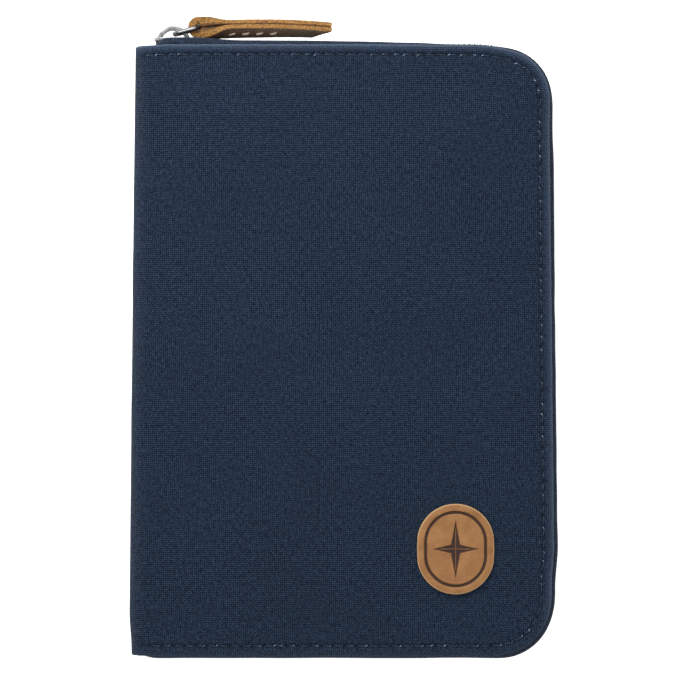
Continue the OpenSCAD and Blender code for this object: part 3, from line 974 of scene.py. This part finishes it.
def coin_zip(tape, coil, x0, x1, middle, top):
    """Both halves of the coin pocket's tape, which dips under the pocket's cloth, and of its coil."""
    def under_cloth(x, y):
        return -0.45 * smooth((np.abs(y - middle) - 4.2) / 0.7)

    tapes = Builder()
    coils = Builder()
    low, high = box("coin_zip_coil")
    share = (high[1] - middle) / COIL_FAR
    for side in (-1, 1):
        ys = sorted((middle + side * COIN_TAPE_NEAR, middle + side * COIN_TAPE_FAR))
        add_panel(tapes, (x0 - 0.6, ys[0]), (x1 + 0.6, ys[1]), (top - COIN_TAPE_T, top), step=1.2,
                  lift=under_cloth)
        s, c, n = helix(high[0] - low[0], COIL_PITCH * share, COIL_NEAR * share, COIL_FAR * share,
                        0, high[2] - low[2], COIN_WIRE_R, side)
        points = stack(low[0] + s, middle + side * c, low[2] + n)
        add_tube(coils, points, COIN_WIRE_R, (1, 0, 0), sides=6)
    hand_over(tapes.build("coin_zip_tape_cloth", tape), "coin_zip_tape")
    hand_over(coils.build("coin_zip_coil_wire", coil), "coin_zip_coil")


# ---- inside of the front cover

def card_slots(cloth, tape, thread):
    for i, node in enumerate(("card_backing", "card_slot_1", "card_slot_2", "card_slot_3")):
        low, high = box(node)
        soft = wave(60 + i, 0.1, 50, 20)
        panel_piece(node + "_cloth", cloth, node, low, high, (low[2], high[2]),
                    radii=(1.5, 5, 0, 0), step=1.6, lift=soft)
        z = (low[2] - 0.14, high[2] + 0.1)
        panel_piece(node + "_binding", tape, "front", (low[0], high[1] - SLOT_BINDING_W),
                    (high[0], high[1] + 0.15), z, step=1.2, lift=soft)
        y, level = high[1] - 2, z[0] - 0.06
        line = ((low[0] + 1, y, level), (high[0] - 1, y, level))
        seam_piece(node + "_thread", thread, "front", [line], DOWN, radius=0.14, rise=0.08)
    card_edging(tape, thread)


def card_edging(tape, thread):
    """Folded tape round three sides of the card slots, and the bars their feet are sewn to."""
    low, high = box("card_edging")
    half_w, left_r, right_r = EDGING_W / 2, 2, 6.0
    half, foot, top = high[0] - half_w, low[1] + 1, high[1]
    turn = np.radians(np.linspace(0, 90, 9))
    right = stack(half - right_r + right_r * np.sin(turn), foot + right_r - right_r * np.cos(turn))
    left = stack(-half + left_r - left_r * np.cos(turn), foot + left_r - left_r * np.sin(turn))
    side = np.linspace(top, foot + left_r, 70)[:-1]
    along = np.linspace(-half + left_r, half - right_r, 60)[1:-1]
    path = np.vstack([stack(-half, side), left, stack(along, foot), right, stack(half, side[-5::-1])])
    turn = full_turn(28)
    across = half_w * np.sign(np.cos(turn)) * np.abs(np.cos(turn)) ** 0.5
    level = np.sign(np.sin(turn)) * np.abs(np.sin(turn)) ** 0.35
    middle, tall = (low[2] + high[2]) / 2, (high[2] - low[2]) / 2
    length = arc_length(path)
    soft = 1 + 0.05 * ripple(length, 0 * length, 81, 20, 5)
    points = path[:, None] + turned(heading(path))[:, None] * (across * soft[:, None])[..., None]
    z = middle + tall * level
    work = Builder()
    work.loft(work.points(raised(points, z), stack(length[:, None], z + across)))
    for node in ("card_slot_1", "card_slot_2", "card_slot_3"):
        slot_low, slot_high = box(node)
        bar_top = slot_high[1] - SLOT_DEPTH
        add_panel(work, (slot_low[0] + 0.3, bar_top - 2), (slot_high[0] - 0.3, bar_top),
                  (slot_high[2] + 0.12, slot_high[2] + 0.74), step=2)
    hand_over(work.build("card_edging_tape", tape), "card_edging")
    z = low[2] - 0.02
    lines = [((-half, top - 1, z), (-half, foot + left_r + 1, z)),
             ((-half + left_r + 1, foot, z), (half - right_r, foot, z)),
             ((half, foot + right_r + 1, z), (half, top - 1, z))]
    seam_piece("card_edging_thread", thread, "front", lines, DOWN, radius=0.14)


# ---- materials

def srgb(*levels):
    """Linear colour from 0-255 sRGB levels."""
    parts = [level / 255 for level in levels]
    linear = [p / 12.92 if p <= 0.04045 else ((p + 0.055) / 1.055) ** 2.4 for p in parts]
    return (*linear, 1.0)


class Shade:
    """Short ways to add nodes round the main shader of a material or a world."""

    def __init__(self, owner, main="Principled BSDF", **inputs):
        owner.use_nodes = True
        self.owner = owner
        self.tree = owner.node_tree
        self.shader = self.tree.nodes[main]
        for key, value in inputs.items():
            self.set(key.replace("_", " "), value)

    def set(self, name, value):
        self.feed(self.shader.inputs[name], value)

    def feed(self, socket, value):
        if isinstance(value, bpy.types.NodeSocket):
            self.tree.links.new(value, socket)
        else:
            socket.default_value = value

    def node(self, kind, inputs, output=0, **settings):
        node = self.tree.nodes.new("ShaderNode" + kind)
        for key, value in settings.items():
            setattr(node, key, value)
        for key, value in inputs.items():
            self.feed(node.inputs[key], value)
        return node.outputs[output]

    def math(self, operation, a, b=0.0):
        return self.node("Math", {0: a, 1: b}, operation=operation)

    def plus(self, a, b):
        return self.math("ADD", a, b)

    def times(self, a, b):
        return self.math("MULTIPLY", a, b)

    def humps(self, value):
        """A row of round humps, each pi wide."""
        return self.math("ABSOLUTE", self.math("SINE", value))

    def mix(self, share, a, b, blend="MIX"):
        """Mixes two colours, each an output or a triple of 0-255 levels."""
        a, b = (srgb(*c) if isinstance(c, tuple) else c for c in (a, b))
        return self.node("Mix", {0: share, 6: a, 7: b}, 2, data_type="RGBA", blend_type=blend)

    def between(self, value, low, high, to_low=0.0, to_high=1.0):
        return self.node("MapRange", {0: value, 1: low, 2: high, 3: to_low, 4: to_high})

    def scaled(self, place, scale):
        return self.node("VectorMath", {0: place, 1: scale}, operation="MULTIPLY")

    def uv(self, scale_u, scale_v=None):
        """Place on the cloth in metres, scaled."""
        scale = (scale_u, scale_u if scale_v is None else scale_v, 1)
        return self.scaled(self.node("UVMap", {}, uv_map="Cloth"), scale)

    def local(self, scale):
        return self.scaled(self.node("TexCoord", {}, 3), (scale,) * 3)

    def split(self, vector):
        return self.node("SeparateXYZ", {0: vector}).node.outputs

    def noise(self, place, detail=2.0, roughness=0.5):
        return self.node("TexNoise", {"Vector": place, "Scale": 1.0, "Detail": detail,
                                      "Roughness": roughness})

    def pebbles(self, scale):
        cells = self.node("TexVoronoi", {"Vector": self.local(scale), "Scale": 1.0})
        return self.between(cells, 0.0, 0.6)

    def mark(self, name, share=None):
        value = self.node("Attribute", {}, 2, attribute_name=name)
        return value if share is None else self.times(value, share)

    def done(self, colour, height, distance, strength):
        """The material with its colour and its relief, whose distance is in metres."""
        self.set("Base Color", colour)
        relief = {"Height": height, "Distance": distance, "Strength": strength}
        self.set("Normal", self.node("Bump", relief))
        return self.owner


def new_shade(name, **inputs):
    return Shade(bpy.data.materials.new(name), **inputs)


def weave(shade, pitch, warp_streak, weft_streak):
    """Plain weave of uneven threads: its height, and how light each thread is."""
    sway = shade.times(shade.noise(shade.uv(350)), 0.9)
    x, y, _ = shade.split(shade.uv(1 / pitch))
    warp, weft = (shade.math("SINE", shade.times(shade.plus(part, sway), math.pi)) for part in (x, y))
    over = shade.math("GREATER_THAN", shade.times(warp, weft), 0.0)
    warp, weft = shade.math("ABSOLUTE", warp), shade.math("ABSOLUTE", weft)
    light_warp = shade.noise(shade.uv(1 / pitch, 1 / pitch / warp_streak), detail=1)
    light_weft = shade.noise(shade.uv(1 / pitch / weft_streak, 1 / pitch), detail=1)
    height = shade.node("Mix", {0: over, 2: weft, 3: warp})
    light = shade.node("Mix", {0: over, 2: light_weft, 3: light_warp})
    return height, light


def canvas_material():
    """Navy canvas of irregular blue-grey threads, painted shade in its stitch groove and needle holes,
    hems paler from wear and a painted highlight.
    """
    shade = new_shade("navy_canvas", Roughness=0.9, Specular_IOR_Level=0.1, Sheen_Weight=0.04,
                      Sheen_Roughness=0.4)
    height, light = weave(shade, 0.00048, 3, 1.6)
    tone = shade.between(shade.plus(shade.times(light, 1.1), shade.times(height, 0.5)), 0.62, 1.26)
    colour = shade.mix(tone, (5, 13, 28), (50, 67, 89))
    patches = shade.between(shade.noise(shade.uv(40)), 0.3, 0.7, 0.94, 1.06)
    grey = shade.node("CombineXYZ", {0: patches, 1: patches, 2: patches})
    colour = shade.mix(1.0, colour, grey, "MULTIPLY")
    # Paler hems: wear and a painted highlight.
    colour = shade.mix(shade.mark("worn", 0.5), colour, (104, 120, 143))
    # Painted shade in the stitching groove and its needle holes.
    colour = shade.mix(shade.mark("pit", 0.72), colour, (8, 13, 22))
    return shade.done(colour, height, 0.0002, 0.9)


def tape_material(name, dark, light, pitch=0.0006):
    """Ribbed woven tape."""
    shade = new_shade(name, Roughness=0.9, Specular_IOR_Level=0.1, Sheen_Weight=0.03)
    height, tone = weave(shade, pitch, 2, 6)
    tone = shade.between(shade.plus(tone, shade.times(height, 0.25)), 0.35, 0.95)
    return shade.done(shade.mix(tone, dark, light), height, 0.00014, 0.8)


def lining_material(name, dark, light):
    """Smooth nylon with a fine slanting rib, faintly creased."""
    shade = new_shade(name, Specular_IOR_Level=0.35, Sheen_Weight=0.05)
    x, y, _ = shade.split(shade.uv(1 / 0.00035))
    rib = shade.humps(shade.times(shade.plus(x, shade.times(y, 0.6)), math.pi))
    cloud = shade.noise(shade.uv(120), detail=4)
    tone = shade.plus(shade.times(rib, 0.55), shade.between(cloud, 0.3, 0.75, 0.1, 0.35))
    shade.set("Roughness", shade.between(cloud, 0.3, 0.7, 0.5, 0.66))
    height = shade.plus(rib, shade.times(cloud, 0.8))
    return shade.done(shade.mix(tone, dark, light), height, 0.00008, 0.7)


def thread_material(name, dark, light):
    """Twisted two-ply thread, mixed towards pale blue as a painted highlight where marked."""
    shade = new_shade(name, Roughness=0.75, Specular_IOR_Level=0.15)
    x, y, _ = shade.split(shade.uv(1000))
    ply = shade.humps(shade.plus(shade.times(x, 13.0), shade.times(y, 10.0)))
    fibre = shade.noise(shade.uv(6000, 9000))
    tone = shade.plus(shade.times(ply, 0.65), shade.times(fibre, 0.4))
    # Painted highlight mixed in where the stitch is marked.
    colour = shade.mix(shade.mark("glint"), shade.mix(tone, dark, light), (128, 144, 168))
    return shade.done(colour, ply, 0.00007, 0.9)


def coil_material():
    """Dark nylon monofilament, a little scuffed."""
    shade = new_shade("coil_nylon")
    cloud = shade.noise(shade.uv(2200), detail=3)
    colour = shade.mix(shade.between(cloud, 0.35, 0.7), (16, 21, 32), (38, 47, 62))
    shade.set("Roughness", shade.between(cloud, 0.3, 0.7, 0.34, 0.55))
    return shade.done(colour, cloud, 0.00003, 0.6)


def nickel_material(name, dark, light, roughness):
    """Satin nickel with fine brushing and handling marks, painted dark brown round the strap's bar as
    shade and reflected leather.
    """
    shade = new_shade(name, Metallic=1.0)
    brush = shade.noise(shade.local(2500), detail=5, roughness=0.7)
    marks = shade.noise(shade.local(600), detail=4, roughness=0.6)
    colour = shade.mix(shade.between(marks, 0.3, 0.7), dark, light)
    # Painted shade and reflected leather on the ring inside the strap's loop.
    flat = shade.scaled(shade.local(1), (1, 1, 0))
    bar = (BAR[0] * MM, BAR[1] * MM, 0)
    away = shade.node("VectorMath", {0: flat, 1: bar}, output=1, operation="DISTANCE")
    colour = shade.mix(shade.between(away, 0.0004, 0.001, 0.9, 0), colour, (52, 38, 28))
    shade.set("Roughness", shade.between(marks, 0.3, 0.7, roughness, roughness + 0.16))
    return shade.done(colour, shade.plus(brush, marks), 0.00002, 0.5)


def raw_leather(shade):
    """Colour and height of a cut leather edge: short tan fibres with dark pores."""
    grain = shade.noise(shade.local(2600), detail=4, roughness=0.65)
    fine = shade.noise(shade.local(7000))
    colour = shade.mix(shade.between(grain, 0.38, 0.62), (64, 35, 11), (172, 121, 55))
    colour = shade.mix(shade.between(fine, 0.34, 0.46, 0.75, 0), colour, (62, 38, 18))
    colour = shade.mix(shade.between(fine, 0.55, 0.64, 0, 0.7), colour, (208, 160, 85))
    return colour, shade.plus(grain, shade.times(fine, 0.5))


def puller_material():
    """Folded strap: dark brown grain faces rubbed grey towards the end, raw tan edges; lower face
    painted lighter against its shade.
    """
    shade = new_shade("strap_leather", Roughness=0.62, Specular_IOR_Level=0.3,
                      Sheen_Tint=srgb(214, 176, 148))
    raw_colour, raw_height = raw_leather(shade)
    pebble = shade.pebbles(2600)
    cloud = shade.noise(shade.local(420), detail=4)
    # low marks the strap's lower face, which lies in shade: its colours are painted lighter and it gets
    # sheen.
    low = shade.mark("low", 0.9)

    def grained(light, dark, shade_lifted_light, shade_lifted_dark):
        return shade.mix(low, shade.mix(pebble, light, dark), shade.mix(pebble, shade_lifted_light, shade_lifted_dark))

    grain = grained((104, 80, 66), (72, 54, 43), (160, 128, 106), (114, 86, 68))
    # The rubbed lower face is painted lighter still against its shade.
    rubbed = grained((132, 114, 100), (92, 76, 66), (214, 186, 160), (162, 138, 116))
    rub = shade.times(shade.mark("worn"), shade.between(cloud, 0.25, 0.6, 0.6, 1.15))
    grain = shade.mix(shade.node("Clamp", {0: rub}), grain, rubbed)
    # Painted shade, speckled, where the two layers meet on the cut edge.
    join = shade.times(shade.mark("join"), shade.between(cloud, 0.3, 0.6, 0.1, 0.7))
    raw_colour = shade.mix(join, raw_colour, (74, 42, 18))
    colour = shade.mix(shade.mark("raw"), grain, raw_colour)
    # Dark inner side of the hide, with painted shade on the cut edges near the loop.
    colour = shade.mix(shade.mark("flesh", 0.8), colour, (70, 42, 22))
    shade.set("Sheen Weight", shade.times(low, 0.35))
    height = shade.node("Mix", {0: shade.mark("raw"), 2: pebble, 3: raw_height})
    return shade.done(colour, height, 0.00014, 1.0)


def badge_material():
    """Tan leather with tight grain, scorched dark where it is pressed, with a painted highlight on its
    cut rim.
    """
    shade = new_shade("badge_leather", Roughness=0.6, Specular_IOR_Level=0.3)
    pebble = shade.pebbles(2300)
    cloud = shade.noise(shade.local(260), detail=5)
    colour = shade.mix(shade.between(cloud, 0.3, 0.7), (138, 93, 52), (164, 118, 72))
    pores = shade.between(shade.noise(shade.local(3400)), 0.28, 0.4, 0.5, 0)
    colour = shade.mix(pores, colour, (112, 74, 46))
    colour = shade.mix(shade.times(pebble, 0.22), colour, (120, 80, 48))
    # Painted highlight along the cut rim.
    colour = shade.mix(shade.mark("raw", 0.6), colour, (206, 172, 128))
    colour = shade.mix(shade.mark("burn", 0.95), colour, (40, 22, 20))
    return shade.done(colour, shade.plus(pebble, shade.times(cloud, 1.5)), 0.00008, 0.8)


def board_material():
    shade = new_shade("grey_board", Roughness=0.9)
    fibre = shade.noise(shade.local(900), detail=5, roughness=0.7)
    colour = shade.mix(shade.between(fibre, 0.3, 0.7), (150, 143, 130), (192, 186, 172))
    return shade.done(colour, fibre, 0.00005, 0.6)


# ---- setting

def floor(level):
    """Pale table that glows faintly from above and is clear from below."""
    shade = new_shade("white_table", Roughness=0.9, Emission_Color=(1, 1, 1, 1), Emission_Strength=0.7)
    cloud = shade.noise(shade.local(3), detail=3)
    shade.set("Base Color", shade.mix(cloud, (246, 246, 246), (251, 251, 251)))
    below = shade.node("NewGeometry", {}, 6)
    clear = shade.node("BsdfTransparent", {})
    surface = shade.node("MixShader", {0: below, 1: shade.shader.outputs[0], 2: clear})
    shade.feed(shade.tree.nodes["Material Output"].inputs[0], surface)
    corners = [(x * TABLE_HALF, y * TABLE_HALF, level) for x, y in CORNERS]
    mesh = bpy.data.meshes.new("table_top")
    mesh.from_pydata(corners, [], [(0, 1, 2, 3)])
    mesh.materials.append(shade.owner)
    add_object(mesh.name, mesh)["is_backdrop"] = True


def lighting():
    """Soft light mostly from overhead, a nearer lamp beyond the slider's end, white to the eye."""
    world = bpy.context.scene.world = bpy.data.worlds.new("studio")
    sky = Shade(world, "Background", Color=(1, 1, 1, 1))
    height = sky.split(sky.node("TexCoord", {}))[2]
    dome = sky.between(height, -0.1, 0.9, 0.2, 0.95)
    is_camera_ray = sky.node("LightPath", {})
    sky.set("Strength", sky.node("Mix", {0: is_camera_ray, 2: dome, 3: 1.0}))
    bpy.context.scene.view_settings.view_transform = "Standard"
    lamp = bpy.data.lights.new("key", "AREA")
    lamp.size = 0.3
    lamp.energy = 2.3
    obj = add_object("key", lamp)
    obj.location = (-0.14, 0.34, 0.34)
    obj.rotation_euler = (-obj.location).to_track_quat("-Z", "Y").to_euler()


def camera():
    """Straight down from high above, as the picture was taken."""
    data = bpy.data.cameras.new("camera")
    data.lens = 500
    data.sensor_width = 36
    data.clip_end = 30
    obj = add_object("camera", data)
    obj.location = (0.00083, 0.00125, THICK * MM + VIEW_WIDTH * data.lens / data.sensor_width)
    bpy.context.scene.camera = obj


# ---- putting it together

def build():
    canvas = canvas_material()
    lining = lining_material("slate_lining", (24, 29, 38), (58, 66, 80))
    pocket = lining_material("pocket_nylon", (30, 36, 47), (70, 79, 95))
    tape = tape_material("navy_tape", (8, 14, 25), (40, 52, 70))
    binding = tape_material("binding_tape", (18, 25, 37), (52, 65, 84), 0.0005)
    navy = thread_material("navy_thread", (4, 9, 18), (38, 52, 74))
    cream = thread_material("cream_thread", (158, 140, 120), (232, 216, 190))
    coil = coil_material()
    nickel = nickel_material("satin_nickel", (124, 124, 125), (164, 164, 165), 0.28)
    wire = nickel_material("bright_nickel", (88, 88, 90), (126, 126, 128), 0.18)
    board = board_material()
    for front in (True, False):
        canvas_cloth(front, canvas)
        lining_cloth(front, lining)
        topstitch(front, navy)
        zip_tape(front, tape)
        zip_coil(front, coil)
        zip_stops(front, coil)
    dress("coin_zip_stops", 0.18, coil)
    for node in ("slider_body", "slider_bridge"):
        dress(node, 0.14, nickel)
        dress("coin_" + node, 0.1, nickel)
    for node in ("pull_ring", "coin_pull_ring"):
        dress(node, 0, wire)
    for node in ("front_stiffener", "back_stiffener"):
        frame["nodes"][node].data.materials.clear()
        frame["nodes"][node].data.materials.append(board)
    leather_puller(puller_material())
    puller_stitches(cream)
    leather_badge(badge_material())
    passport_pocket(pocket, binding, navy)
    coin_pocket(pocket, binding, navy, coil)
    card_slots(pocket, binding, navy)
    floor(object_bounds()[0].z - TABLE_GAP)
    lighting()
    camera()


build()
